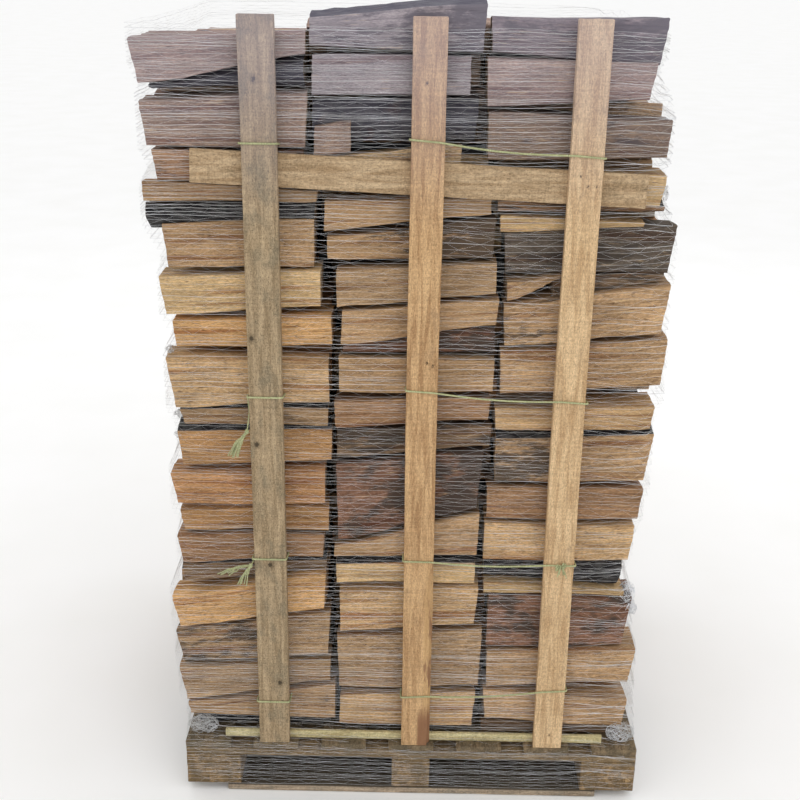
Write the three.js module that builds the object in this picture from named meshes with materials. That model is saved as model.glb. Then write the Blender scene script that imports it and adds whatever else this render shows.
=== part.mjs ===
// A pallet stack of split firewood. Short split logs lie across the pallet in three columns,
// upright battens stand against the front and the back, twine passes through the stack round
// each front batten and the one behind it, and two thin slats lie between battens and logs.
// Millimetres, +Z up, X along the logs, -Y towards the front. The origin is the middle of the
// underside of the middle runner.
import * as THREE from 'three';

const GAP = 0.3; // between pieces that touch

// Pallet
const PALLET_WIDTH = 1000;
const PALLET_DEPTH = 1000;
const BOARD_THICKNESS = 17;
const BOARD_WIDTH = 100;
const DECK_BOARDS = 7;
const BLOCK_HEIGHT = 77.1;
const CORNER_BLOCK_WIDTH = 120;
const CENTRE_BLOCK_WIDTH = 84;
const RUNNER_ENDS = [-410, 415];
const ROWS = { front: -450, middle: 0, back: 450 };

// Heights of the pallet's layers, from the ground up
const BLOCK_BASE = BOARD_THICKNESS + GAP;
const STRINGER_BASE = BLOCK_BASE + BLOCK_HEIGHT + GAP;
const DECK_BASE = STRINGER_BASE + BOARD_THICKNESS + GAP;
const STACK_BASE = DECK_BASE + BOARD_THICKNESS + GAP;

// Battens
const BATTEN_TOPS = { front: 1670, back: 1570 };
const BATTEN_THICKNESS = 20;
const BATTENS = {
  left: { x: -302, width: 66 },
  middle: { x: 9, width: 62 },
  right: { x: 301, width: 62 },
};

// Slats, between the battens and the logs
const SLAT_THICKNESS = 9;
const LONG_SLAT = { length: 853, height: 63, x: -7, z: 1381.5, tilt: 2.4 };
const BOTTOM_SLAT = { length: 837, height: 18, x: 5 };

// Twine: a loop round one pair of battens, and one round two pairs, at four heights.
// Each height is where the loop passes a batten.
const TWINE_SIZE = 4;
const TWINE_HEIGHTS = {
  left: [238, 589, 949, 1445],
  middle: [256, 590, 968, 1456],
  right: [280, 587, 948, 1428],
};
const GROOVE = 5; // the twine's groove in the logs below it

// The log columns: each course's top, and where its logs end at the left and the right
const LOG_ROW_DEPTH = 940.8;
const COLUMNS = {
  left: [
    [168, -490, -174], [222, -500, -168], [302, -514, -176], [405, -518, -180], [500, -522, -188],
    [560, -497, -184], [624, -502, -190], [686, -494, -180], [778, -508, -186], [868, -490, -172],
    [906, -482, -180], [1028, -506, -176], [1108, -488, -170], [1190, -509, -190], [1288, -500, -202],
    [1362, -532, -196], [1432, -512, -222], [1528, -530, -214], [1580, -515, -218], [1650, -540, -215],
  ],
  middle: [
    [152, -168, 134], [240, -160, 140], [390, -165, 150], [505, -162, 138], [565, -168, 132],
    [640, -172, 136], [800, -166, 138], [868, -164, 152], [940, -170, 146], [1040, -160, 154],
    [1128, -154, 156], [1208, -164, 150], [1270, -182, 141], [1345, -186, 132], [1437, -190, 108],
    [1525, -208, 106], [1607, -206, 88], [1690, -210, 112],
  ],
  right: [
    [165, 150, 470], [258, 156, 478], [358, 160, 486], [490, 158, 470], [538, 148, 450],
    [580, 146, 442], [665, 142, 459], [750, 145, 472], [866, 158, 480], [935, 154, 476],
    [1052, 160, 490], [1140, 162, 486], [1190, 166, 474], [1284, 160, 488], [1316, 148, 465],
    [1345, 144, 461], [1412, 130, 458], [1508, 120, 462], [1602, 112, 424], [1672, 118, 440],
  ],
};

const FINISHES = {
  weathered: { color: 0x8f8271, roughness: 0.9 },
  grey_batten: { color: 0x8f8873, roughness: 0.85 },
  tan_batten: { color: 0xb59a68, roughness: 0.8 },
  slat: { color: 0xd3c191, roughness: 0.75 },
  firewood: { color: 0xb08a5e, roughness: 0.9 },
  twine: { color: 0x9fb59b, roughness: 0.8 },
};

const pile = new THREE.Group();

function add(name, geometry, finish) {
  const material = new THREE.MeshStandardMaterial({ ...FINISHES[finish], metalness: 0 });
  const mesh = new THREE.Mesh(geometry, material);
  mesh.name = name;
  pile.add(mesh);
  return mesh;
}

// A board or block by its size, standing on the height base
function addBlock(name, [width, depth, height], [x, y, base], finish) {
  const mesh = add(name, new THREE.BoxGeometry(width, depth, height), finish);
  mesh.position.set(x, y, base + height / 2);
  return mesh;
}

function addPallet() {
  const pitch = (PALLET_WIDTH - BOARD_WIDTH) / (DECK_BOARDS - 1);
  for (let i = 0; i < DECK_BOARDS; i++) {
    const x = -PALLET_WIDTH / 2 + BOARD_WIDTH / 2 + i * pitch;
    const size = [BOARD_WIDTH, PALLET_DEPTH, BOARD_THICKNESS];
    addBlock(`deck_board_${i + 1}`, size, [x, 0, DECK_BASE], 'weathered');
  }
  const cornerX = (PALLET_WIDTH - CORNER_BLOCK_WIDTH) / 2;
  const blocks = {
    left: { x: -cornerX, width: CORNER_BLOCK_WIDTH },
    centre: { x: 0, width: CENTRE_BLOCK_WIDTH },
    right: { x: cornerX, width: CORNER_BLOCK_WIDTH },
  };
  const [runnerLeft, runnerRight] = RUNNER_ENDS;
  const runnerSize = [runnerRight - runnerLeft, BOARD_WIDTH, BOARD_THICKNESS];
  const stringerSize = [PALLET_WIDTH, BOARD_WIDTH, BOARD_THICKNESS];
  for (const [row, y] of Object.entries(ROWS)) {
    addBlock(`stringer_${row}`, stringerSize, [0, y, STRINGER_BASE], 'weathered');
    for (const [side, { x, width }] of Object.entries(blocks)) {
      const size = [width, BOARD_WIDTH, BLOCK_HEIGHT];
      addBlock(`block_${row}_${side}`, size, [x, y, BLOCK_BASE], 'weathered');
    }
    addBlock(`runner_${row}`, runnerSize, [(runnerLeft + runnerRight) / 2, y, 0], 'weathered');
  }
}

function addBattens() {
  const y = (PALLET_DEPTH - BATTEN_THICKNESS) / 2;
  for (const [face, side] of [['front', -1], ['back', 1]]) {
    const height = BATTEN_TOPS[face] - STACK_BASE;
    for (const [place, { x, width }] of Object.entries(BATTENS)) {
      const finish = place === 'left' ? 'grey_batten' : 'tan_batten';
      const size = [width, BATTEN_THICKNESS, height];
      addBlock(`batten_${face}_${place}`, size, [x, side * y, STACK_BASE], finish);
    }
  }
}

function addSlats() {
  const y = -(PALLET_DEPTH / 2 - BATTEN_THICKNESS - GAP - SLAT_THICKNESS / 2);
  const { length, height, x, z, tilt } = LONG_SLAT;
  const long = addBlock('slat_long', [length, SLAT_THICKNESS, height], [x, y, z - height / 2], 'slat');
  long.rotation.y = THREE.MathUtils.degToRad(tilt);
  const bottom = BOTTOM_SLAT;
  const bottomSize = [bottom.length, SLAT_THICKNESS, bottom.height];
  addBlock('slat_bottom', bottomSize, [bottom.x, y, STACK_BASE], 'slat');
}

// An upright outline in X and Z, drawn out along Y about the middle of the stack
function drawOut(points, depth) {
  const shape = new THREE.Shape(points.map(([x, z]) => new THREE.Vector2(x, z)));
  const geometry = new THREE.ExtrudeGeometry(shape, { depth, bevelEnabled: false });
  return geometry.translate(0, 0, -depth / 2).rotateX(Math.PI / 2);
}

// The courses between two heights as one stepped outline, with a groove for each passing twine
function blockOutline(courses, low, high, grooves) {
  const left = [];
  const right = [];
  let base = STACK_BASE;
  for (const [top, x1, x2] of courses) {
    const from = Math.max(base, low);
    const to = Math.min(top, high);
    base = top;
    if (to - from < 1) continue;
    left.push([x1, from], [x1, to]);
    right.unshift([x2, to], [x2, from]);
  }
  const notches = grooves.flatMap((x) => [
    [x - GROOVE / 2, high], [x - GROOVE / 2, high - GROOVE],
    [x + GROOVE / 2, high - GROOVE], [x + GROOVE / 2, high],
  ]);
  return [...left, ...notches, ...right];
}

// Where the twine passes each column, beside its batten
function grooveX(place) {
  const { x, width } = BATTENS[place];
  const reach = width / 2 + GAP + TWINE_SIZE / 2;
  if (place === 'middle') return [x - reach];
  if (place === 'right') return [x + reach];
  return [x - reach, x + reach];
}

function addLogs() {
  for (const [place, courses] of Object.entries(COLUMNS)) {
    const cuts = TWINE_HEIGHTS[place].map((z) => z + GROOVE / 2);
    const tops = [...cuts, courses.at(-1)[0]];
    tops.forEach((top, i) => {
      const low = i === 0 ? STACK_BASE : tops[i - 1] + GAP;
      const grooves = i < cuts.length ? grooveX(place) : [];
      const outline = blockOutline(courses, low, top, grooves);
      add(`logs_${place}_${i + 1}`, drawOut(outline, LOG_ROW_DEPTH), 'firewood');
    });
  }
}

// A loop of twine that lies level in its own plane, from x1 to x2 inside, round front and back
function addTwine(name, x1, x2, z1, z2) {
  const halfWidth = Math.hypot(x2 - x1, z2 - z1) / 2 + GAP;
  const halfDepth = PALLET_DEPTH / 2 + GAP;
  const ring = (grow) => [
    new THREE.Vector2(-halfWidth - grow, -halfDepth - grow),
    new THREE.Vector2(halfWidth + grow, -halfDepth - grow),
    new THREE.Vector2(halfWidth + grow, halfDepth + grow),
    new THREE.Vector2(-halfWidth - grow, halfDepth + grow),
  ];
  const shape = new THREE.Shape(ring(TWINE_SIZE));
  shape.holes.push(new THREE.Path(ring(0)));
  const geometry = new THREE.ExtrudeGeometry(shape, { depth: TWINE_SIZE, bevelEnabled: false });
  geometry.translate(0, 0, -TWINE_SIZE / 2);
  const mesh = add(name, geometry, 'twine');
  mesh.position.set((x1 + x2) / 2, 0, (z1 + z2) / 2);
  mesh.rotation.y = -Math.atan2(z2 - z1, x2 - x1);
}

function addTwines() {
  const { left, middle, right } = BATTENS;
  const pairLeft = middle.x - middle.width / 2;
  const pairRight = right.x + right.width / 2;
  TWINE_HEIGHTS.left.forEach((z, i) => {
    const zMiddle = TWINE_HEIGHTS.middle[i];
    const zRight = TWINE_HEIGHTS.right[i];
    addTwine(`twine_left_${i + 1}`, left.x - left.width / 2, left.x + left.width / 2, z, z);
    addTwine(`twine_pair_${i + 1}`, pairLeft, pairRight, zMiddle, zRight);
  });
}

addPallet();
addBattens();
addSlats();
addLogs();
addTwines();

export default pile;
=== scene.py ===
"""A pallet stack of split firewood in three columns, tied with battens, slats, twine and a knitted net."""

import math
import random

import bmesh
import bpy
from mathutils import Matrix, Vector, noise
from mathutils.geometry import convex_hull_2d


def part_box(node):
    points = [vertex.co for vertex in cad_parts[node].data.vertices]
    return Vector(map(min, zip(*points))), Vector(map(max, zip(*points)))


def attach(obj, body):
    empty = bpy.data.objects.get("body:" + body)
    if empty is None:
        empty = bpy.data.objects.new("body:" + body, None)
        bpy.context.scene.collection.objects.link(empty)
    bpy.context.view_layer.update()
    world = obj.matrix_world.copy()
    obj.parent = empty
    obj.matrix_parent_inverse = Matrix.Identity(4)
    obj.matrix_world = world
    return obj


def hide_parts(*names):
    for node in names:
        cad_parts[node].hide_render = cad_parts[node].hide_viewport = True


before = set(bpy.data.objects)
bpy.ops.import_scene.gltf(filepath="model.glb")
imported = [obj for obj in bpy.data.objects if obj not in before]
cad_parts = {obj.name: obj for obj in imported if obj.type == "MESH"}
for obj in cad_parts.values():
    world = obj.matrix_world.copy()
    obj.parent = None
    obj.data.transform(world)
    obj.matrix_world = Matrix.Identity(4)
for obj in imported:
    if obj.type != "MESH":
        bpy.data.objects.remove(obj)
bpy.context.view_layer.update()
rng = random.Random(7)

LOG_LENGTH = 0.33
LOG_DEPTH = 0.10
LOG_HEIGHT = 0.085
ROW_PITCH = 0.104        # from one log to the next, from front to back
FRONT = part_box("logs_left_1")[0][1]
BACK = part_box("logs_left_1")[1][1]
PLACES = ("left", "middle", "right")
BLOCKS = range(1, 6)

# Colours of the wood, as seen, from 0 to 255
PINK = (160, 137, 124)
LILAC = (146, 136, 134)
DUSK = (152, 127, 107)
TAN = (173, 141, 105)
OAK = (159, 131, 99)
AMBER = (168, 129, 87)
SLATE = (127, 114, 112)
PALE = (188, 155, 114)
YELLOW = (200, 169, 124)
HONEY = (200, 158, 108)
ORANGE = (178, 134, 92)
BROWN = (152, 118, 87)
DULL = (128, 105, 82)
RED = (126, 93, 74)
DARK = (96, 86, 76)
INNER = [TAN, BROWN, ORANGE, PALE, BROWN, TAN, YELLOW, DUSK]

# The front logs, from the bottom up. Each row: the course it lies in, the sides that carry bark
# (f front, b back, t top, u under), its colour, how patchy with dark inner bark it is at its
# left and its right end, then in
# millimetres how far its top and its underside lie off the course's at the left and right ends,
# how far its face stands back, and how far its ends lie inside the course's.
FRONT_LOGS = {
    "left": [
        (1, "f", DARK, (0.5, 0.5), (-5, -8), (0, 0), 22, (8, 6)),
        (2, "b", TAN, (0.0, 0.25), (-20, 34), (2, -3), 4, (0, 0)),
        (3, "b", OAK, (0.1, 0.0), (-4, 22), (-16, 42), 2, (0, 2)),
        (4, "bu", OAK, (0.6, 0.15), (-20, 34), (0, 26), 7, (0, 0)),
        (5, "b", HONEY, (0.0, 0.1), (-24, 37), (-11, 42), 0, (0, 0)),
        (6, "bt", DULL, (0.1, 0.35), (-12, 3), (6, 43), 10, (0, 0)),
        (7, "b", BROWN, (0.1, 0.0), (-4, 3), (-7, 12), 3, (0, 0)),
        (8, "bu", AMBER, (0.0, 0.1), (-8, 4), (3, 7), 6, (0, 0)),
        (9, "b", ORANGE, (0.0, 0.0), (-13, 2), (4, 10), 2, (0, 0)),
        (10, "bt", AMBER, (0.0, 0.05), (-10, 0), (1, 18), 3, (0, 0)),
        (11, "tb", OAK, (0.1, 0.4), (-2, 5), (0, 2), 8, (0, 0)),
        (12, "b", PALE, (0.0, 0.0), (-12, -12), (-1, 17), 3, (0, 0)),
        (13, "b", HONEY, (0.0, 0.0), (-13, 3), (6, 16), 1, (0, 0)),
        (14, "b", YELLOW, (0.0, 0.0), (-8, 10), (-8, 13), 2, (0, 0)),
        (15, "b", TAN, (0.0, 0.05), (-4, 12), (6, 11), 6, (0, 0)),
        (16, "", TAN, (0.0, 0.2), (3, -10), (38, 40), 5, (0, 0)),
        (16, "fu", DARK, (0.2, 0.2), (-40, -36), (-17, -8), 8, (0, 4)),
        (17, "b", BROWN, (0.3, 0.5), (-6, -3), (0, -4), 10, (0, 0)),
        (18, "b", DUSK, (0.0, 0.1), (-13, 8), (-3, -3), 3, (0, 0)),
        (19, "fbt", DARK, (0.2, 0.2), (-34, 9), (2, 10), 12, (6, 0)),
        (20, "b", PINK, (0.0, 0.1), (-25, -8), (-38, 18), 2, (0, 0)),
    ],
    "middle": [
        (1, "f", DARK, (0.5, 0.5), (-3, -3), (0, 0), 22, (6, 6)),
        (2, "b", PALE, (0.0, 0.0), (-9, 5), (0, 0), 4, (0, 0)),
        (3, "b", OAK, (0.1, 0.1), (-6, 19), (9, 16), 2, (0, 0)),
        (4, "b", PALE, (0.0, 0.0), (-9, 3), (-3, 24), 4, (0, 0)),
        (5, "bt", YELLOW, (0.0, 0.0), (-4, 3), (2, 6), 4, (0, 0)),
        (6, "b", TAN, (0.0, 0.1), (-37, 43), (8, 14), 5, (0, 0)),
        (7, "b", RED, (0.35, 0.8), (-11, 23), (-30, 48), 6, (0, 0)),
        (8, "b", DULL, (0.55, 0.5), (-5, 14), (-1, 30), 10, (0, 0)),
        (9, "b", BROWN, (0.0, 0.0), (-13, 0), (-1, 22), 3, (0, 0)),
        (10, "b", TAN, (0.0, 0.1), (-17, -18), (5, 10), 2, (0, 0)),
        (11, "u", RED, (0.5, 0.7), (-78, -42), (-15, -12), 16, (2, 4)),
        (11, "b", TAN, (0.0, 0.0), (-8, 20), (4, 50), 2, (0, 0)),
        (12, "b", OAK, (0.0, 0.1), (-7, 12), (-7, 26), 3, (0, 0)),
        (13, "b", TAN, (0.1, 1.0), (-4, 36), (8, 14), 7, (0, 0)),
        (14, "b", TAN, (0.0, 0.0), (-11, 0), (2, 40), 4, (0, 0)),
        (15, "b", YELLOW, (0.0, 0.1), (-18, 8), (4, 4), 5, (0, 34)),
        (16, "f", DARK, (0.1, 0.1), (-5, 0), (-2, 4), 24, (0, 0)),
        (16, "", DUSK, (0.0, 0.0), (-52, -42), (-24, -14), 2, (6, 240)),
        (17, "b", LILAC, (0.0, 0.0), (-6, -4), (0, 5), 3, (0, 0)),
        (18, "bt", LILAC, (0.2, 0.8), (-24, 4), (5, -3), 5, (0, 0)),
    ],
    "right": [
        (1, "", DULL, (0.3, 0.3), (-3, -8), (0, 0), 16, (4, 0)),
        (2, "b", TAN, (0.0, 0.2), (-7, -25), (8, -6), 3, (0, 0)),
        (3, "b", TAN, (0.0, 0.0), (-4, 9), (-2, 17), 2, (0, 0)),
        (4, "b", RED, (0.4, 0.5), (-2, -2), (2, 8), 8, (0, 0)),
        (5, "b", YELLOW, (0.0, 0.3), (-15, -32), (2, 0), 3, (0, 0)),
        (6, "f", DARK, (0.2, 0.2), (-8, -4), (-13, -31), 8, (0, 0)),
        (7, "b", PALE, (0.0, 0.0), (-2, -2), (-8, -3), 2, (0, 0)),
        (8, "b", BROWN, (0.0, 0.1), (-4, -2), (8, 8), 4, (0, 0)),
        (9, "bt", TAN, (0.75, 0.05), (-10, 5), (2, 10), 4, (0, 0)),
        (10, "b", PALE, (0.0, 0.1), (-16, -6), (2, 10), 4, (0, 0)),
        (11, "b", TAN, (0.0, 0.0), (-10, 20), (12, 37), 2, (0, 0)),
        (12, "b", TAN, (0.45, 0.0), (-2, 43), (-4, 26), 1, (0, 0)),
        (13, "", TAN, (0.0, 0.3), (-10, 8), (0, 47), 6, (0, 200)),
        (13, "", DULL, (0.5, 0.5), (6, 16), (0, 44), 14, (90, 2)),
        (14, "b", DARK, (0.5, 0.4), (-4, 14), (6, 10), 8, (0, 0)),
        (15, "b", YELLOW, (0.0, 0.1), (-4, -14), (-6, 8), 2, (0, 40)),
        (16, "t", BROWN, (0.4, 0.5), (-6, -14), (0, 5), 10, (0, 0)),
        (17, "b", YELLOW, (0.0, 0.1), (-10, -20), (2, -16), 3, (0, 0)),
        (18, "b", DULL, (0.2, 0.3), (-4, -15), (0, 10), 4, (0, 0)),
        (19, "b", PINK, (0.0, 0.0), (-2, -6), (2, 18), 2, (0, 0)),
        (20, "b", SLATE, (0.3, 0.7), (0, 2), (4, -16), 4, (0, 0)),
    ],
}


# ---------------------------------------------------------------- working by hand

def clear_selection():
    bpy.ops.object.select_all(action="DESELECT")


def pick(*objects):
    clear_selection()
    for obj in objects:
        obj.select_set(True)
    bpy.context.view_layer.objects.active = objects[0]


def apply_place(obj):
    pick(obj)
    bpy.ops.object.transform_apply(location=True, rotation=True, scale=True)


def finish_modifier(obj, kind, **settings):
    """Adds a modifier, sets it and applies it."""
    pick(obj)
    modifier = obj.modifiers.new(kind.title(), kind)
    for key, value in settings.items():
        setattr(modifier, key, value)
    bpy.ops.object.modifier_apply(modifier=modifier.name)


def cut_edges(obj, axis, cuts):
    """Cuts every edge that runs along an axis into equal lengths."""
    pick(obj)
    bpy.ops.object.mode_set(mode="EDIT")
    bpy.ops.mesh.select_mode(type="EDGE")
    bpy.ops.mesh.select_all(action="DESELECT")
    mesh = bmesh.from_edit_mesh(obj.data)
    for edge in mesh.edges:
        run = edge.verts[1].co - edge.verts[0].co
        if abs(run[axis]) > 0.9 * run.length:
            edge.select_set(True)
    bmesh.update_edit_mesh(obj.data)
    bpy.ops.mesh.subdivide(number_cuts=cuts)
    bpy.ops.object.mode_set(mode="OBJECT")


def duplicate(obj):
    pick(obj)
    bpy.ops.object.duplicate(linked=False)
    return bpy.context.active_object


def join(objects, name):
    pick(*objects)
    bpy.ops.object.join()
    joined = bpy.context.active_object
    joined.name = name
    joined.data.name = name
    return joined


def remove(*objects):
    pick(*objects)
    bpy.ops.object.delete()


# ---------------------------------------------------------------- relief

def stretched_space(name, size):
    """An empty whose axes are scaled, so that a texture read through it is stretched."""
    bpy.ops.object.empty_add(location=(0, 0, 0))
    space = bpy.context.active_object
    space.name = name
    space.scale = size
    return space


def relief_texture(name, kind, **settings):
    texture = bpy.data.textures.new(name, kind)
    for key, value in settings.items():
        setattr(texture, key, value)
    return texture


def relief(obj, texture, space, depth, group="", direction="NORMAL", mid=0.5):
    finish_modifier(obj, "DISPLACE", texture=texture, texture_coords="OBJECT", strength=depth,
                    texture_coords_object=space, vertex_group=group, direction=direction,
                    mid_level=mid)


# ---------------------------------------------------------------- materials

def seen(colour):
    """A colour as seen, from 0 to 255, as the linear colour that a shader takes."""
    parts = [c / 255 for c in colour]
    return [c / 12.92 if c <= 0.04045 else ((c + 0.055) / 1.055) ** 2.4 for c in parts]


class Finish:
    """A material whose nodes are added one at a time."""

    def __init__(self, name, roughness):
        self.material = bpy.data.materials.new(name)
        self.material.use_nodes = True
        self.tree = self.material.node_tree
        self.shader = self.tree.nodes["Principled BSDF"]
        self.shader.inputs["Roughness"].default_value = roughness
        self.shader.inputs["Specular IOR Level"].default_value = 0.25

    def add(self, kind, **settings):
        node = self.tree.nodes.new(kind)
        for key, value in settings.items():
            setattr(node, key, value)
        return node

    def feed(self, socket, value):
        if isinstance(value, bpy.types.NodeSocket):
            self.tree.links.new(value, socket)
        else:
            socket.default_value = value

    def place(self):
        return self.add("ShaderNodeTexCoord").outputs["Object"]

    def attribute(self, name, output="Vector"):
        return self.add("ShaderNodeAttribute", attribute_name=name).outputs[output]

    def scaled(self, vector, scale, shift=(0, 0, 0)):
        node = self.add("ShaderNodeMapping")
        self.feed(node.inputs["Vector"], vector)
        node.inputs["Scale"].default_value = scale
        node.inputs["Location"].default_value = shift
        return node.outputs["Vector"]

    def noise(self, vector, detail=3, rough=0.5, twist=0.0):
        node = self.add("ShaderNodeTexNoise")
        self.feed(node.inputs["Vector"], vector)
        node.inputs["Scale"].default_value = 1
        node.inputs["Detail"].default_value = detail
        node.inputs["Roughness"].default_value = rough
        node.inputs["Distortion"].default_value = twist
        return node.outputs["Fac"]

    def cells(self, vector, feature="F1"):
        node = self.add("ShaderNodeTexVoronoi", feature=feature)
        self.feed(node.inputs["Vector"], vector)
        node.inputs["Scale"].default_value = 1
        return node.outputs["Distance"]

    def maths(self, operation, first, second=0.0):
        node = self.add("ShaderNodeMath", operation=operation)
        self.feed(node.inputs[0], first)
        self.feed(node.inputs[1], second)
        return node.outputs[0]

    def vector(self, operation, first, second=(0, 0, 0), output="Vector"):
        node = self.add("ShaderNodeVectorMath", operation=operation)
        self.feed(node.inputs[0], first)
        self.feed(node.inputs[1], second)
        return node.outputs[output]

    def between(self, value, low, high, out_low=0.0, out_high=1.0):
        """The value's place between two limits, held inside them."""
        node = self.add("ShaderNodeMapRange", interpolation_type="SMOOTHSTEP")
        self.feed(node.inputs["Value"], value)
        limits = {"From Min": low, "From Max": high, "To Min": out_low, "To Max": out_high}
        for key, limit in limits.items():
            self.feed(node.inputs[key], limit)
        return node.outputs["Result"]

    def mix(self, share, first, second, blend="MIX"):
        node = self.add("ShaderNodeMix", data_type="RGBA", blend_type=blend)
        self.feed(node.inputs[0], share)
        for socket, value in ((node.inputs[6], first), (node.inputs[7], second)):
            if not isinstance(value, bpy.types.NodeSocket) and len(value) == 3:
                value = (*value, 1)
            self.feed(socket, value)
        return node.outputs[2]

    def shade(self, colour, value):
        """The colour made lighter or darker by a number."""
        grey = self.add("ShaderNodeCombineColor")
        for socket in grey.inputs:
            self.feed(socket, value)
        return self.mix(1.0, colour, grey.outputs[0], "MULTIPLY")

    def bump(self, height, distance, strength=1.0, under=None):
        node = self.add("ShaderNodeBump")
        node.inputs["Strength"].default_value = strength
        node.inputs["Distance"].default_value = distance
        self.feed(node.inputs["Height"], height)
        if under is not None:
            self.feed(node.inputs["Normal"], under)
        return node.outputs["Normal"]

    def done(self, colour, normal=None, roughness=None):
        self.feed(self.shader.inputs["Base Color"], colour)
        if normal is not None:
            self.feed(self.shader.inputs["Normal"], normal)
        if roughness is not None:
            self.feed(self.shader.inputs["Roughness"], roughness)
        return self.material


def painted_glare(finish, colour, start=1.28, share=0.27):
    """The colour mixed towards a pale lilac as it rises: painted glare, a haze of light that thickens to the
    top.
    """
    split = finish.add("ShaderNodeSeparateXYZ")
    finish.feed(split.inputs[0], finish.place())
    glare_share = finish.between(split.outputs[2], start, 1.68, 0, share)
    return finish.mix(glare_share, colour, seen((172, 168, 190)))


def ring_distance(finish, grain):
    """How far a point is from the log's heart, with the wobble of real growth rings."""
    flat = finish.vector("MULTIPLY", grain, (0.0, 1.0, 1.0))
    distance = finish.vector("LENGTH", flat, output="Value")
    wobble = finish.noise(finish.scaled(grain, (6, 30, 30)), 2, 0.5)
    return finish.maths("ADD", distance, finish.maths("MULTIPLY", wobble, 0.012))


def split_wood():
    """A face torn along the grain: fibres, short dark checks, pale slivers and bark remains."""
    finish = Finish("split_wood", 0.86)
    grain = finish.attribute("grain")
    tint = finish.attribute("tint", "Color")
    patchy = finish.attribute("tint", "Alpha")
    cloud = finish.noise(finish.scaled(grain, (7, 16, 16)), 3, 0.5)
    band = finish.noise(finish.scaled(grain, (2.5, 60, 60)), 3, 0.6)
    fibre = finish.noise(finish.scaled(grain, (22, 340, 340)), 5, 0.68)
    fuzz = finish.noise(finish.scaled(grain, (150, 420, 420)), 4, 0.7)
    tick = finish.noise(finish.scaled(grain, (40, 380, 380), (3, 1, 2)), 3, 0.6)
    sliver = finish.noise(finish.scaled(grain, (14, 240, 240), (1, 6, 2)), 4, 0.6)
    ring = finish.maths("SINE", finish.maths("MULTIPLY", ring_distance(finish, grain), 1500.0))
    colour = finish.shade(tint, finish.between(cloud, 0.32, 0.68, 0.86, 1.14))
    colour = finish.mix(finish.between(band, 0.52, 0.68, 0, 0.6), colour, seen((172, 116, 80)), "MULTIPLY")
    colour = finish.shade(colour, finish.between(band, 0.32, 0.6, 1.14, 0.96))
    colour = finish.shade(colour, finish.between(fibre, 0.3, 0.7, 0.74, 1.24))
    colour = finish.shade(colour, finish.between(fuzz, 0.3, 0.7, 0.72, 1.26))
    colour = finish.shade(colour, finish.between(ring, -1.0, 1.0, 0.95, 1.04))
    colour = finish.mix(finish.between(sliver, 0.6, 0.7, 0, 0.45), colour, seen((226, 194, 148)))
    check = finish.between(tick, 0.39, 0.31)
    colour = finish.mix(finish.maths("MULTIPLY", check, 0.68), colour, seen((80, 52, 36)))
    spread = finish.noise(finish.scaled(grain, (10, 34, 34), (7, 5, 1)), 6, 0.68)
    reach = finish.maths("ADD", spread, finish.maths("MULTIPLY", patchy, 0.42))
    patch = finish.between(reach, 0.66, 0.80, 0, 0.85)
    colour = finish.mix(patch, colour, seen((62, 55, 50)))
    height = finish.maths("ADD", finish.maths("MULTIPLY", fibre, 1.5), fuzz)
    normal = finish.bump(height, 0.0012, 0.8)
    normal = finish.bump(finish.maths("MULTIPLY", check, -1.0), 0.0012, 0.6, normal)
    # Painted glare: a pale lilac haze mixed in towards the top.
    return finish.done(painted_glare(finish, colour), normal)


def bark():
    """Rough oak bark: dark furrows along the log between greyer plates."""
    finish = Finish("bark", 0.95)
    grain = finish.attribute("grain")
    bend = finish.noise(finish.scaled(grain, (30, 30, 30)), 3, 0.6)
    moved = finish.vector("ADD", finish.scaled(grain, (34, 150, 150)), finish.scaled(bend, (1.2, 1.2, 1.2)))
    plate = finish.cells(moved)
    furrow = finish.noise(finish.scaled(grain, (30, 240, 240)), 5, 0.65, 0.4)
    lichen = finish.noise(finish.scaled(grain, (22, 22, 22), (4, 4, 4)), 4, 0.6)
    dust = finish.noise(finish.scaled(grain, (300, 500, 500)), 3, 0.6)
    height = finish.maths("SUBTRACT", finish.maths("MULTIPLY", furrow, 1.4),
                          finish.maths("MULTIPLY", plate, 0.9))
    shade = finish.between(height, -0.1, 0.55)
    colour = finish.mix(shade, seen((30, 29, 31)), seen((86, 84, 84)))
    colour = finish.mix(finish.between(lichen, 0.54, 0.7, 0, 0.4), colour, seen((108, 112, 108)))
    colour = finish.mix(finish.between(lichen, 0.42, 0.3, 0, 0.6), colour, seen((84, 62, 48)))
    colour = finish.shade(colour, finish.between(dust, 0.3, 0.7, 0.75, 1.25))
    normal = finish.bump(height, 0.004, 0.9)
    normal = finish.bump(dust, 0.0006, 0.6, normal)
    # Painted glare: a pale lilac haze mixed in towards the top.
    return finish.done(painted_glare(finish, colour), normal)


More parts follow.
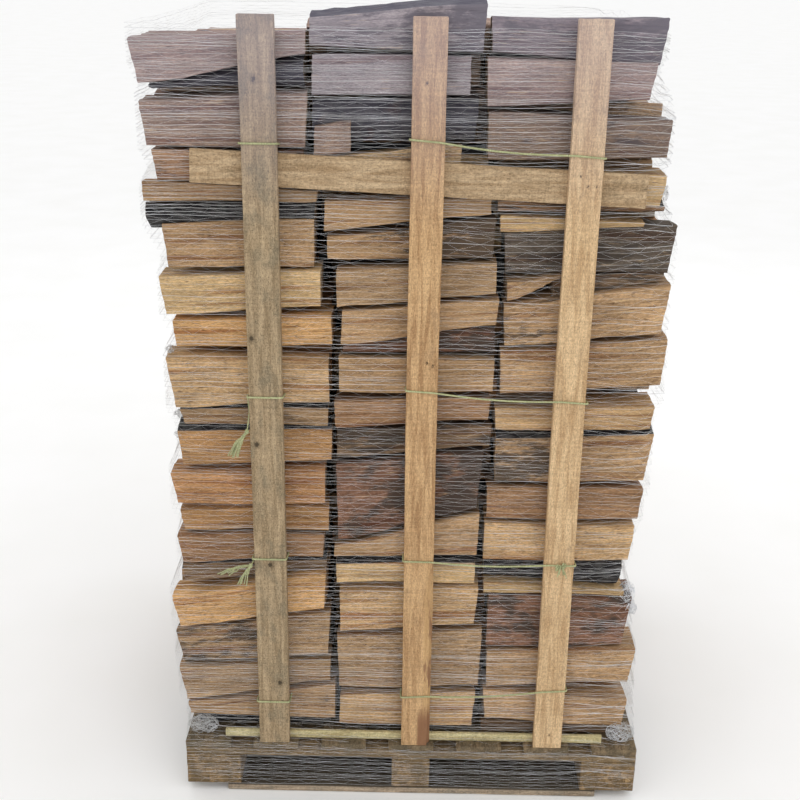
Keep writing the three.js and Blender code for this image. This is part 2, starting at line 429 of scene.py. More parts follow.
def end_grain():
    """A sawn end: growth rings, fine rays and drying checks from the heart, and saw marks."""
    finish = Finish("end_grain", 0.9)
    grain = finish.attribute("grain")
    tint = finish.attribute("tint", "Color")
    distance = ring_distance(finish, grain)
    ring = finish.maths("SINE", finish.maths("MULTIPLY", distance, 1900.0))
    split = finish.add("ShaderNodeSeparateXYZ")
    finish.feed(split.inputs[0], grain)
    angle = finish.maths("ARCTAN2", split.outputs[1], split.outputs[2])
    spoke = finish.add("ShaderNodeCombineXYZ")
    finish.feed(spoke.inputs[0], finish.maths("MULTIPLY", angle, 16.0))
    finish.feed(spoke.inputs[1], finish.maths("MULTIPLY", distance, 9.0))
    ray = finish.noise(finish.scaled(spoke.outputs[0], (3.5, 1, 1)), 4, 0.6)
    check = finish.between(finish.noise(spoke.outputs[0], 3, 0.5), 0.335, 0.3)
    saw = finish.noise(finish.scaled(grain, (10, 60, 520)), 3, 0.6)
    stain = finish.noise(finish.scaled(grain, (20, 20, 20), (2, 9, 5)), 4, 0.6)
    colour = finish.mix(0.45, tint, seen((172, 146, 116)))
    colour = finish.shade(colour, finish.between(ring, -1, 1, 0.78, 1.08))
    colour = finish.shade(colour, finish.between(ray, 0.3, 0.7, 0.8, 1.2))
    colour = finish.shade(colour, finish.between(saw, 0.3, 0.7, 0.82, 1.14))
    colour = finish.mix(finish.between(stain, 0.5, 0.72, 0, 0.6), colour, seen((104, 90, 76)), "MULTIPLY")
    colour = finish.mix(finish.maths("MULTIPLY", check, 0.9), colour, seen((40, 28, 20)))
    height = finish.maths("ADD", saw, finish.maths("MULTIPLY", ray, 0.5))
    normal = finish.bump(height, 0.0009, 0.7)
    normal = finish.bump(finish.maths("MULTIPLY", check, -1.0), 0.002, 0.9, normal)
    return finish.done(colour, normal)


def along(axis, run, across):
    """A mapping scale that stretches a pattern along an axis."""
    return tuple(run if i == axis else across for i in range(3))


def sawn_wood(name, axis, light, dark, worn, wear=0.5, knots=(), wane=None, painted_top_shade=None):
    """A rough-sawn board: faint straight grain, saw fuzz, dark specks, grey weathering and knots."""
    finish = Finish(name, 0.84)
    place = finish.place()
    grain = finish.noise(finish.scaled(place, along(axis, 7, 90)), 5, 0.62, 0.8)
    fuzz = finish.noise(finish.scaled(place, along(axis, 120, 460)), 4, 0.7)
    tick = finish.noise(finish.scaled(place, along(axis, 85, 330), (2, 3, 1)), 3, 0.6)
    blotch = finish.noise(finish.scaled(place, along(axis, 14, 26), (5, 1, 8)), 5, 0.65, 0.3)
    saw = finish.noise(finish.scaled(place, along(axis, 330, 25), (1, 1, 3)), 2, 0.5)
    speck = finish.noise(finish.scaled(place, (330, 330, 330), (9, 4, 2)), 3, 0.7)
    colour = finish.mix(finish.between(grain, 0.32, 0.68), seen(dark), seen(light))
    weathering = finish.between(blotch, 0.62 - 0.3 * wear, 0.8 - 0.2 * wear, 0, 0.85)
    colour = finish.mix(weathering, colour, seen(worn))
    colour = finish.shade(colour, finish.between(fuzz, 0.3, 0.7, 0.72, 1.22))
    colour = finish.shade(colour, finish.between(saw, 0.35, 0.65, 0.94, 1.05))
    marks = finish.between(tick, 0.38, 0.31, 0, 0.25 + 0.45 * wear)
    colour = finish.mix(marks, colour, seen([0.45 * c for c in dark]))
    dark_speck = finish.between(speck, 0.45, 0.34, 0, 0.3 + 0.55 * wear)
    colour = finish.mix(dark_speck, colour, seen([0.55 * c for c in dark]))
    light_speck = finish.between(speck, 0.57, 0.68, 0, 0.4)
    colour = finish.mix(light_speck, colour, seen([min(255, 1.12 * c) for c in light]))
    for x, z, radius in knots:
        gap = finish.vector("SUBTRACT", place, (x, 0.0, z))
        flat = finish.vector("MULTIPLY", gap, (1.0, 0.0, 0.8))
        far = finish.vector("LENGTH", flat, output="Value")
        ragged = finish.maths("MULTIPLY", finish.maths("SUBTRACT", speck, 0.5), 0.010)
        far = finish.maths("ADD", far, ragged)
        halo = finish.between(far, 0.5 * radius, 1.7 * radius, 0.6, 0)
        colour = finish.mix(halo, colour, seen([0.75 * c for c in dark]))
        core = finish.between(far, 0.35 * radius, 0.8 * radius, 0.85, 0)
        colour = finish.mix(core, colour, seen([0.42 * c for c in dark]))
    if wane:
        colour = wane(finish, place, colour)
    # Painted glare on the upright battens: a pale lilac haze mixed in towards the top.
    if axis == 2:
        colour = painted_glare(finish, colour, 1.25, 0.32)
    # Painted shade: the top face, which lies under the deck, darkened to a shadowed brown.
    if painted_top_shade:
        split = finish.add("ShaderNodeSeparateXYZ")
        finish.feed(split.inputs[0], place)
        top_shade_share = finish.between(split.outputs[2], 0.013, 0.0155, 0, 0.88)
        colour = finish.mix(top_shade_share, colour, seen(painted_top_shade))
    height = finish.maths("ADD", fuzz, finish.maths("ADD", grain, saw))
    return finish.done(colour, finish.bump(height, 0.0009, 0.7))


def waney_edge(finish, place, colour):
    """The lower right edge of a batten, where the tree's outside and some bark are left on."""
    split = finish.add("ShaderNodeSeparateXYZ")
    finish.feed(split.inputs[0], place)
    _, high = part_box("batten_front_middle")
    wobble = finish.noise(finish.scaled(place, (20, 20, 8)), 3)
    edge = finish.maths("ADD", split.outputs[0], finish.maths("MULTIPLY", wobble, 0.01))
    side = finish.between(edge, high[0] - 0.014, high[0] - 0.009)
    low = finish.between(split.outputs[2], 0.62, 0.5)
    share = finish.maths("MULTIPLY", side, low)
    bits = finish.noise(finish.scaled(place, (60, 60, 14), (1, 0, 4)), 4, 0.6)
    colour = finish.mix(finish.maths("MULTIPLY", share, 0.5), colour, seen((196, 160, 112)))
    spots = finish.maths("MULTIPLY", share, finish.between(bits, 0.5, 0.6))
    colour = finish.mix(finish.maths("MULTIPLY", spots, 0.8), colour, seen((132, 96, 72)))
    strip = finish.between(edge, high[0] - 0.024, high[0] - 0.019, 0, 0.9)
    foot = finish.maths("MULTIPLY", strip, finish.between(split.outputs[2], 0.245, 0.19))
    return finish.mix(foot, colour, seen((132, 94, 68)))


def twine_fibre():
    finish = Finish("twine_fibre", 0.55)
    place = finish.place()
    strand = finish.noise(finish.scaled(place, (500, 500, 500)), 3, 0.6)
    long = finish.noise(finish.scaled(place, (30, 30, 30)), 2)
    colour = finish.mix(finish.between(strand, 0.3, 0.7), seen((138, 146, 104)), seen((196, 196, 152)))
    colour = finish.shade(colour, finish.between(long, 0.3, 0.7, 0.85, 1.1))
    return finish.done(colour, finish.bump(strand, 0.0004, 0.6))


def net_yarn():
    finish = Finish("net_yarn", 0.5)
    place = finish.place()
    change = finish.noise(finish.scaled(place, (14, 14, 14)), 3)
    colour = finish.mix(finish.between(change, 0.35, 0.65), seen((205, 205, 204)), seen((240, 242, 246)))
    return finish.done(colour)


def floor_finish():
    finish = Finish("pale_floor", 0.9)
    change = finish.noise(finish.scaled(finish.place(), (3, 3, 3)), 2)
    shade = finish.between(change, 0.2, 0.8)
    return finish.done(finish.mix(shade, seen((249, 249, 248)), seen((252, 252, 252))))


# ---------------------------------------------------------------- one log

def side_of(point):
    """The side of a block of one unit that a point lies nearest: an end, f, b, t or u."""
    axis = max(range(3), key=lambda i: abs(point[i]))
    if axis == 0:
        return "end"
    return {(1, False): "f", (1, True): "b", (2, False): "u", (2, True): "t"}[axis, point[axis] > 0]


def log_block(bark_sides, cuts, materials):
    """A block of one unit in a fine grid, with worn long edges and each side's finish."""
    clear_selection()
    bpy.ops.mesh.primitive_cube_add(size=1, location=(0, 0, 0))
    block = bpy.context.active_object
    for axis, count in enumerate(cuts):
        cut_edges(block, axis, count)
    for material in materials:
        block.data.materials.append(material)
    for face in block.data.polygons:
        side = side_of(face.center)
        face.material_index = 2 if side == "end" else int(side in bark_sides)
    groups = {name: block.vertex_groups.new(name=name) for name in ("split", "bark", "ends")}
    for vertex in block.data.vertices:
        x, y, z = vertex.co
        on_side = {"f": y < -0.499, "b": y > 0.499, "u": z < -0.499, "t": z > 0.499}
        sides = [side for side, on in on_side.items() if on]
        at_end = abs(x) > 0.499
        if sides:
            rough = sum(s in bark_sides for s in sides) / len(sides)
            edge = 0.35 if at_end else 1.0
            groups["bark"].add([vertex.index], rough * edge, "REPLACE")
            groups["split"].add([vertex.index], (1 - rough) * edge, "REPLACE")
        if at_end:
            groups["ends"].add([vertex.index], 0.7 if sides else 1.0, "REPLACE")
    pick(block)
    bpy.ops.object.mode_set(mode="EDIT")
    bpy.ops.mesh.select_mode(type="VERT")
    bpy.ops.mesh.select_all(action="DESELECT")
    mesh = bmesh.from_edit_mesh(block.data)
    for vertex in mesh.verts:
        vertex.select_set(abs(vertex.co.y) > 0.499 and abs(vertex.co.z) > 0.499)
    bmesh.update_edit_mesh(block.data)
    bpy.ops.transform.resize(value=(1, 0.966, 0.966))
    bpy.ops.object.mode_set(mode="OBJECT")
    block.data.attributes.new("grain", "FLOAT_VECTOR", "POINT")
    block.data.attributes.new("tint", "FLOAT_COLOR", "POINT")
    return block


def shaping_cage():
    """A lattice of three points each way round a block of one unit."""
    clear_selection()
    bpy.ops.object.add(type="LATTICE", location=(0, 0, 0))
    cage = bpy.context.active_object
    cage.data.points_u = cage.data.points_v = cage.data.points_w = 3
    for way in "uvw":
        setattr(cage.data, f"interpolation_type_{way}", "KEY_CARDINAL")
    return cage


def set_cage(cage, ends, swell, bow):
    """Puts the cage at a log's place and size, then moves its points to the log's own shape.
    Each end's corners are front under, back under, back top, front top."""
    left, right = ends
    corners = [*left, *right]
    cage.location = sum(corners, Vector()) / 8
    cage.scale = (
        sum(b.x - a.x for a, b in zip(left, right)) / 4,
        sum(e[1].y + e[2].y - e[0].y - e[3].y for e in ends) / 4,
        sum(e[2].z + e[3].z - e[0].z - e[1].z for e in ends) / 4,
    )
    for u in range(3):
        under_front, under_back, top_back, top_front = (
            a.lerp(b, u / 2) + (bow if u == 1 else Vector()) for a, b in zip(*ends))
        front = (under_front + top_front) / 2 - Vector((0, swell["f"], 0))
        back = (under_back + top_back) / 2 + Vector((0, swell["b"], 0))
        under = (under_front + under_back) / 2 - Vector((0, 0, swell["u"]))
        top = (top_front + top_back) / 2 + Vector((0, 0, swell["t"]))
        rows = ((under_front, under, under_back), (front, (front + back + under + top) / 4, back),
                (top_front, top, top_back))
        for w, row in enumerate(rows):
            for v, place in enumerate(row):
                own = [(p - c) / s for p, c, s in zip(place, cage.location, cage.scale)]
                cage.data.points[(w * 3 + v) * 3 + u].co_deform = own


def heart(bark_sides):
    """Where the tree's heart lies in a log's section, away from its bark."""
    across = next((s for s in bark_sides if s in "fb"), "")
    y = {"f": 0.055, "b": -0.055}.get(across, rng.uniform(-0.05, 0.05))
    upright = next((s for s in bark_sides if s in "tu"), "")
    z = {"t": -0.05, "u": 0.05}.get(upright, rng.uniform(-0.05, 0.05))
    return y + rng.uniform(-0.01, 0.01), z + rng.uniform(-0.01, 0.01)


class LogMaker:
    """Shapes logs from blocks, one block for each set of bark sides and fineness."""

    def __init__(self):
        self.materials = [split_wood(), bark(), end_grain()]
        self.cage = shaping_cage()
        self.blocks = {}

    def make(self, fineness, bark_sides, ends, colour, patchy, swell):
        key = fineness, "".join(sorted(bark_sides))
        if key not in self.blocks:
            self.blocks[key] = log_block(bark_sides, FINENESS[fineness], self.materials)
        log = duplicate(self.blocks[key])
        heart_y, heart_z = heart(bark_sides)
        shift = rng.uniform(0, 40)
        grain = []
        for vertex in log.data.vertices:
            x, y, z = vertex.co
            grain += (x * LOG_LENGTH + shift, y * LOG_DEPTH - heart_y, z * LOG_HEIGHT - heart_z)
        log.data.attributes["grain"].data.foreach_set("vector", grain)
        light = rng.uniform(0.96, 1.04)
        red, green, blue = (c * light for c in seen(colour))
        tint = []
        for vertex in log.data.vertices:
            tint += (red, green, blue, patchy[0] + (patchy[1] - patchy[0]) * (vertex.co.x + 0.5))
        log.data.attributes["tint"].data.foreach_set("color", tint)
        bow = Vector((0, rng.uniform(-0.002, 0.002), rng.uniform(-0.003, 0.003)))
        set_cage(self.cage, ends, swell, bow)
        log.location, log.scale = self.cage.location, self.cage.scale
        finish_modifier(log, "LATTICE", object=self.cage)
        apply_place(log)
        return log

    def put_away(self):
        remove(self.cage, *self.blocks.values())


# How many cuts a log's block has along, across and up
FINENESS = {"face": (14, 5, 28), "end": (5, 7, 7), "top": (17, 21, 9)}


# ---------------------------------------------------------------- the columns

def side_runs(place, sign):
    """The upright runs of a column's outline at its left (-1) or right (1): (x, low, high)."""
    runs = []
    for block in BLOCKS:
        node = f"logs_{place}_{block}"
        low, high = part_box(node)
        centre = (low[0] + high[0]) / 2
        points = {(round(v.co.x, 4), round(v.co.z, 4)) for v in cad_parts[node].data.vertices
                  if sign * (v.co.x - centre) > 0.1}
        levels = sorted({z for _, z in points})
        for a, b in zip(levels, levels[1:]):
            for x in {x for x, z in points if z == a} & {x for x, z in points if z == b}:
                runs.append((x, a, b, block))
    return runs


def courses(place):
    """A column's courses from the bottom up: bottom, top, left end, right end, block."""
    left, right = side_runs(place, -1), side_runs(place, 1)
    found = []
    for x_left, low, high, block in left:
        middle = (low + high) / 2
        x_right = min(right, key=lambda run: abs((run[1] + run[2]) / 2 - middle))[0]
        same = found and abs(found[-1][2] - x_left) < 1e-4 and abs(found[-1][3] - x_right) < 1e-4
        if same and low - found[-1][1] < 0.001:
            found[-1][1] = high
        else:
            found.append([low, high, x_left, x_right, block])
    return found


def log_ends(left, right, low, high, y_under, y_top, gap=0.0015, slant=0.004):
    """Corners of a log's two ends. Low, high, y_under and y_top each hold (left, right) pairs."""
    ends = []
    for end, x in enumerate((left, right)):
        (front_low, back_low), (front_top, back_top) = low[end], high[end]
        (yu_front, yu_back), (yt_front, yt_back) = y_under[end], y_top[end]
        corners = [(yu_front + gap, front_low + gap), (yu_back - gap, back_low + gap),
                   (yt_back - gap, back_top - gap), (yt_front + gap, front_top - gap)]
        inward = 1 if end == 0 else -1
        ends.append([Vector((x + inward * rng.uniform(0, slant), y, z)) for y, z in corners])
    return ends


def round_off(ends, bark_sides, depth):
    """Draws the corners of each bark side in, so that the bark bulges between them."""
    moves = {"f": ((0, 3), (0, 1)), "b": ((1, 2), (0, -1)), "t": ((2, 3), (1, -1)), "u": ((0, 1), (1, 1))}
    for side in bark_sides:
        corners, (up, sign) = moves[side]
        step = Vector((0, 0, sign * depth)) if up else Vector((0, sign * depth, 0))
        for end in ends:
            for corner in corners:
                end[corner] += step


def swelling(bark_sides, depth):
    """How far each side stands out in its middle."""
    return {side: depth + 0.004 if side in bark_sides else rng.uniform(-0.004, 0.005) for side in "fbtu"}


def front_log(maker, course, row, slants):
    low, high, left, right, _ = course
    _, bark_sides, colour, patchy, tops, unders, recess, insets = row
    tops, unders, insets = ([v / 1000 for v in pair] for pair in (tops, unders, insets))
    face = FRONT + 0.005 + recess / 1000
    lean = rng.uniform(-0.006, 0.006)
    depth = ROW_PITCH - 0.004
    under = [(low + u, low + u + rng.uniform(-0.004, 0.004)) for u in unders]
    top = [(high + t, high + t + rng.uniform(-0.012, 0.004)) for t in tops]
    y_under = [(face + max(0, lean) + rng.uniform(0, 0.003), FRONT + depth) for _ in range(2)]
    y_top = [(face + max(0, -lean) + rng.uniform(0, 0.003), FRONT + depth) for _ in range(2)]
    ends = log_ends(left + insets[0], right - insets[1], under, top, y_under, y_top)
    for end, slant, inward in zip(ends, slants, (1, -1)):
        tall = end[3].z - end[0].z
        for corner in (0, 1):
            end[corner].x += inward * tall * (slant + rng.uniform(-0.03, 0.04))
    if "f" in bark_sides:
        round_off(ends, "f", 0.016)
    return maker.make("face", bark_sides, ends, colour, patchy, swelling(bark_sides, 0.006) | {
        "f": 0.018 if "f" in bark_sides else rng.uniform(-0.002, 0.002)})


def random_bark():
    draw = rng.random()
    return "" if draw < 0.62 else rng.choice(("t", "u", "b", "f", "t", "u"))


def inner_logs(maker, place, stack, index, uppermost):
    """The logs of one course behind its front one, by where they lie."""
    low, high, left, right, _ = stack[index]
    pitch = (BACK - FRONT) / 9
    logs = {"inside": [], "back": []}
    edges = {1: 0.0}
    for j in range(2, 9):
        edges[j] = rng.choice((-1, 1)) * rng.uniform(0.008, 0.03)
    edges[9] = 0.0
    thin = min(1.0, (high - low) / 0.075)
    wave = [rng.uniform(-0.018, 0.0) if uppermost else rng.uniform(-0.011, 0.011) * thin for _ in range(10)]
    base_wave = WAVES.setdefault((place, index - 1), [0.0] * 10)
    WAVES[place, index] = wave
    for j in range(1, 9):
        last = j == 8
        fall = 0.014 + 0.0072 * j if uppermost else 0.0
        unders = [(low + base_wave[j], low + base_wave[j + 1])] * 2
        tops = [(high + wave[j] - fall + rng.uniform(-0.004, 0.003),
                 high + wave[j + 1] - fall + rng.uniform(-0.004, 0.003)) for _ in range(2)]
        y1, y2 = FRONT + j * pitch, FRONT + (j + 1) * pitch
        set_back = rng.uniform(0.006, 0.02) if last else 0.0
        y_under = [(y1 + edges[j], y2 + edges[j + 1] - set_back)] * 2
        y_top = [(y1 - edges[j], y2 - edges[j + 1] - set_back)] * 2
        halves = [(unders, tops)]
        if high - low > 0.135:
            split = [(low + high) / 2 + rng.uniform(-0.02, 0.02) for _ in range(2)]
            middle = [(s, s + rng.uniform(-0.006, 0.006)) for s in split]
            halves = [(unders, middle), (middle, tops)]
        for under, top in halves:
            bark_sides = random_bark()
            shift = rng.uniform(0, 0.018)
            start, stop = left + shift, right - rng.uniform(0, 0.018)
            if place == "middle" and j < 8:
                side = 1 if j % 2 else -1
                start, stop = left + side * 0.021, right + side * 0.021
            ends = log_ends(start, stop, under, top, y_under, y_top)
            thin = min(1.0, (high - low) / len(halves) / 0.075)
            round_off(ends, bark_sides, 0.014 * thin)
            fineness = "face" if last else "top" if uppermost else "end"
            patchy = rng.choice((0, 0, 0.1, 0.4)), rng.choice((0, 0, 0.1, 0.6))
            colour = rng.choice(INNER)
            swell = {side: out * thin for side, out in swelling(bark_sides, 0.012).items()}
            if index == 0:
                swell["u"] = min(swell["u"], 0.0)
            log = maker.make(fineness, bark_sides, ends, colour, patchy, swell)
            logs["back" if last else "inside"].append(log)
    return logs


WAVES = {}


def wood_relief(obj, spaces, textures):
    """Fibre ridges and hollows on split faces, furrows on bark, and a slight roughness at the ends."""
    relief(obj, textures["cloud"], spaces["hollow"], 0.0060, "split")
    relief(obj, textures["cloud"], spaces["ridge"], 0.0050, "split")
    relief(obj, textures["cloud"], spaces["splinter"], 0.0034, "split")
    relief(obj, textures["ridged"], spaces["furrow"], 0.0060, "bark")
    relief(obj, textures["cloud"], spaces["saw"], 0.0045, "ends")
    pick(obj)
    bpy.ops.object.shade_smooth_by_angle(angle=math.radians(32))
    obj.vertex_groups.clear()


def build_logs():
    maker = LogMaker()
    textures = {
        "cloud": relief_texture("cloud", "CLOUDS", noise_scale=1.0, noise_depth=2),
        "ridged": relief_texture("ridged", "CLOUDS", noise_scale=1.0, noise_depth=3, noise_type="HARD_NOISE"),
    }
    spaces = {
        "hollow": stretched_space("hollow", (0.24, 0.04, 0.04)),
        "ridge": stretched_space("ridge", (0.22, 0.008, 0.008)),
        "splinter": stretched_space("splinter", (0.09, 0.0042, 0.0042)),
        "furrow": stretched_space("furrow", (0.035, 0.009, 0.009)),
        "saw": stretched_space("saw", (0.03, 0.014, 0.009)),
    }
    for place in PLACES:
        stack = courses(place)
        groups = {}
        for index, course in enumerate(stack):
            block = course[4]
            fronts = [row for row in FRONT_LOGS[place] if row[0] == index + 1]
            slants = {"left": (0.15, 0.02), "middle": (0.0, 0.03), "right": (0.02, 0.10)}[place]
            groups.setdefault((block, "front"), []).extend(
                front_log(maker, course, row, slants) for row in fronts)
            uppermost = index == len(stack) - 1
            for part, logs in inner_logs(maker, place, stack, index, uppermost).items():
                groups.setdefault((block, part), []).extend(logs)
        for (block, part), logs in groups.items():
            piece = join(logs, f"firewood_{place}_{block}_{part}")
            wood_relief(piece, spaces, textures)
            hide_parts(f"logs_{place}_{block}")
            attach(piece, "root")
    maker.put_away()
    remove(*spaces.values())


# ---------------------------------------------------------------- boards

def sawn_board(node, cuts, material, spaces, textures, worn=0.002, change=None):
    """A sawn board, batten or block with worn edges and saw roughness, in a plain one's place."""
    corners = [v.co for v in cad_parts[node].data.vertices]
    low_x = min(c.x for c in corners)
    left = [c for c in corners if c.x < low_x + 0.01]
    right = [c for c in corners if c.x > max(c.x for c in corners) - 0.01]
    low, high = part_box(node)
    centre = (low + high) / 2
    tilt, size = 0.0, high - low
    if node == "slat_long":
        run = sum(right, Vector()) / len(right) - sum(left, Vector()) / len(left)
        tilt = math.atan2(run.z, run.x)
        size = Vector((run.length, high.y - low.y, max(c.z for c in left) - min(c.z for c in left)))
    clear_selection()
    bpy.ops.mesh.primitive_cube_add(size=1, location=(0, 0, 0))
    board = bpy.context.active_object
    board.name = board.data.name = f"sawn_{node}"
    board.scale = size
    apply_place(board)
    for axis, count in enumerate(cuts):
        if count:
            cut_edges(board, axis, count)
    finish_modifier(board, "BEVEL", width=worn, segments=2, limit_method="ANGLE",
                    angle_limit=math.radians(60))
    board.location = centre
    board.rotation_euler = (0, -tilt, 0)
    apply_place(board)
    if change:
        change(board)
    long_axis = max(range(3), key=lambda i: size[i])
    relief(board, textures["cloud"], spaces["xyz"[long_axis]], 0.0016)
    relief(board, textures["cloud"], spaces["fine"], 0.0007)
    board.data.materials.append(material)
    pick(board)
    bpy.ops.object.shade_smooth_by_angle(angle=math.radians(35))
    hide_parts(node)
    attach(board, "root")
    return board


def bowed(amount):
    """A change that bows a batten a little to one side along its height."""
    def change(board):
        low, high = min(v.co.z for v in board.data.vertices), max(v.co.z for v in board.data.vertices)
        for vertex in board.data.vertices:
            share = (vertex.co.z - low) / (high - low)
            vertex.co.x += amount * math.sin(math.pi * share) + 0.0006 * math.sin(9 * share + 40 * amount)
    return change


def waney(board):
    """Takes the lower right edge of the middle batten away, as where the tree's outside was."""
    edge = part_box("batten_front_middle")[1].x
    for vertex in board.data.vertices:
        if vertex.co.x > edge - 0.004 and vertex.co.y < -0.49:
            share = min(1.0, max(0.0, (0.60 - vertex.co.z) / 0.05))
            vertex.co.x -= share * (0.007 + 0.004 * noise.noise((0, 0, 9 * vertex.co.z)))
    bowed(-0.001)(board)


def build_boards():
    textures = {"cloud": relief_texture("saw_cloud", "CLOUDS", noise_scale=1.0, noise_depth=2)}
    spaces = {
        "x": stretched_space("grain_x", (0.12, 0.012, 0.012)),
        "y": stretched_space("grain_y", (0.012, 0.12, 0.012)),
        "z": stretched_space("grain_z", (0.012, 0.012, 0.12)),
        "fine": stretched_space("grain_fine", (0.006, 0.006, 0.006)),
    }
    grey = sawn_wood("grey_batten_wood", 2, (180, 158, 126), (140, 120, 92), (130, 118, 96), 0.6, knots=(
        (-0.307, 1.559, 0.006), (-0.325, 1.070, 0.007), (-0.321, 0.847, 0.007),
        (-0.301, 0.575, 0.007), (-0.287, 0.286, 0.007)))
    golden = sawn_wood("golden_batten_wood", 2, (204, 168, 124), (162, 126, 88), (160, 130, 98), 0.25, knots=(
        (0.016, 1.026, 0.003), (0.028, 1.020, 0.003), (0.005, 1.556, 0.003)), wane=waney_edge)
    tan = sawn_wood("tan_batten_wood", 2, (216, 186, 145), (180, 147, 108), (174, 148, 116), 0.25, knots=(
        (0.291, 1.394, 0.002), (0.305, 1.376, 0.002), (0.321, 1.376, 0.002), (0.304, 0.164, 0.003)))
    pale = sawn_wood("pale_slat_wood", 0, (192, 167, 134), (156, 130, 98), (146, 126, 98), 0.35)
    cream = sawn_wood("cream_slat_wood", 0, (214, 204, 160), (184, 168, 122), (170, 156, 118), 0.3)
    weathered = {
        "x": sawn_wood("weathered_boards", 0, (160, 136, 102), (104, 86, 62), (108, 94, 74), 0.9),
        "y": sawn_wood("weathered_deck", 1, (146, 126, 98), (96, 80, 60), (98, 88, 70), 0.9),
        "block": sawn_wood("weathered_blocks", 1, (170, 140, 100), (100, 80, 54), (102, 86, 62), 0.9),
        # The runners' grey weathering is their own; the dark on their top faces is painted shade from the
        # deck above.
        "runner": sawn_wood("weathered_runner_painted_shade", 0, (190, 170, 146), (132, 116, 96), (140, 130, 114), 0.7,
                            painted_top_shade=(58, 52, 44)),
    }
    for face in ("front", "back"):
        for place, material, change in (("left", grey, bowed(0.0015)), ("middle", golden, waney),
                                        ("right", tan, bowed(-0.0015))):
            change = bowed(0.001) if (face, place) == ("back", "middle") else change
            board = sawn_board(f"batten_{face}_{place}", (9, 2, 79), material, spaces, textures,
                               0.0018, change)
    sawn_board("slat_long", (59, 1, 9), pale, spaces, textures, 0.001)
    sawn_board("slat_bottom", (59, 1, 3), cream, spaces, textures, 0.001)
    for i in range(1, 8):
        board = sawn_board(f"deck_board_{i}", (11, 59, 3), weathered["y"], spaces, textures)
    for row in ("front", "middle", "back"):
        for node, cuts, kind in (("stringer", (59, 11, 3), "x"), ("runner", (49, 11, 3), "runner")):
            board = sawn_board(f"{node}_{row}", cuts, weathered[kind], spaces, textures)
        for side in ("left", "centre", "right"):
            board = sawn_board(f"block_{row}_{side}", (13, 13, 11), weathered["block"], spaces, textures)
    remove(*spaces.values())


# ---------------------------------------------------------------- twine

TWINE_RADIUS = 0.0019


def tube(name, lines, radius, sides=8, closed=True):
    """One mesh of round tubes along lines of points."""
    clear_selection()
    bpy.ops.mesh.primitive_circle_add(vertices=sides, radius=radius, location=(0, 0, 0))
    ring = bpy.context.active_object
    bpy.ops.object.convert(target="CURVE")
    curve = bpy.data.curves.new(name, "CURVE")
    curve.dimensions = "3D"
    curve.bevel_mode = "OBJECT"
    curve.bevel_object = ring
    curve.use_fill_caps = True
    for line in lines:
        spline = curve.splines.new("POLY")
        spline.points.add(len(line) - 1)
        spline.points.foreach_set("co", [c for point in line for c in (*point, 1)])
        spline.use_cyclic_u = closed
    obj = bpy.data.objects.new(name, curve)
    bpy.context.scene.collection.objects.link(obj)
    pick(obj)
    bpy.ops.object.convert(target="MESH")
    obj = bpy.context.active_object
    remove(ring)
    outwards(obj)
    return obj


def outwards(obj):
    pick(obj)
    bpy.ops.object.mode_set(mode="EDIT")
    bpy.ops.mesh.select_all(action="SELECT")
    bpy.ops.mesh.normals_make_consistent(inside=False)
    bpy.ops.object.mode_set(mode="OBJECT")


def rounded_loop(corners, radius, steps=5):
    """A closed line through corners, each turned with an arc."""
    line = []
    for before, corner, after in zip([corners[-1], *corners], corners, [*corners[1:], corners[0]]):
        back = (before - corner).normalized()
        on = (after - corner).normalized()
        centre = corner + (back + on) * radius
        start, end = corner + back * radius - centre, corner + on * radius - centre
        for i in range(steps + 1):
            line.append(centre + start.slerp(end, i / steps).normalized() * radius)
    return line


def with_sag(line, places, depth):
    """The line with points along its long stretches, which hang a little between what they touch."""
    result = []
    for a, b in zip(line, [*line[1:], line[0]]):
        result.append(a)
        steps = int((b - a).length / 0.05)
        for i in range(1, steps):
            share = i / steps
            point = a.lerp(b, share)
            if abs(point.y) < 0.485:
                point.z -= 0.010
            if abs(point.y) > 0.49:
                stops = sorted(places)
                before = max([s for s in stops if s <= point.x], default=None)
                after = min([s for s in stops if s > point.x], default=None)
                if before is not None and after is not None and after - before > 0.1:
                    gap = (point.x - before) / (after - before)
                    point.z -= depth * 4 * gap * (1 - gap)
            result.append(point)
    return result


def knot(centre, size):
    """A small overhand knot as a line that winds twice round the twine."""
    line = []
    for i in range(29):
        turn = 4 * math.pi * i / 28
        out = size * (0.75 + 0.25 * math.sin(1.5 * turn))
        line.append(centre + Vector((size * 1.1 * (i / 28 - 0.5) + 0.3 * size * math.sin(turn),
                                     -abs(out * math.cos(turn / 2)) * 0.6 - 0.001,
                                     out * math.sin(turn))))
    return line


def tassel(centre, tip, count, spread):
    """Loose ends of the twine that fan out from a knot and droop."""
    lines = []
    for i in range(count):
        side = (i / (count - 1) - 0.5) * 2
        end = tip + Vector((spread * side + rng.uniform(-0.004, 0.004), rng.uniform(-0.006, 0.001),
                            spread * 0.5 * rng.uniform(-1, 1)))
        line = []
        for k in range(9):
            t = k / 8
            point = centre.lerp(end, t)
            point.z += 0.010 * math.sin(math.pi * t) * (0.4 + 0.6 * rng.random())
            point.y -= 0.006 * math.sin(math.pi * t)
            line.append(point)
        lines.append(line)
    return lines


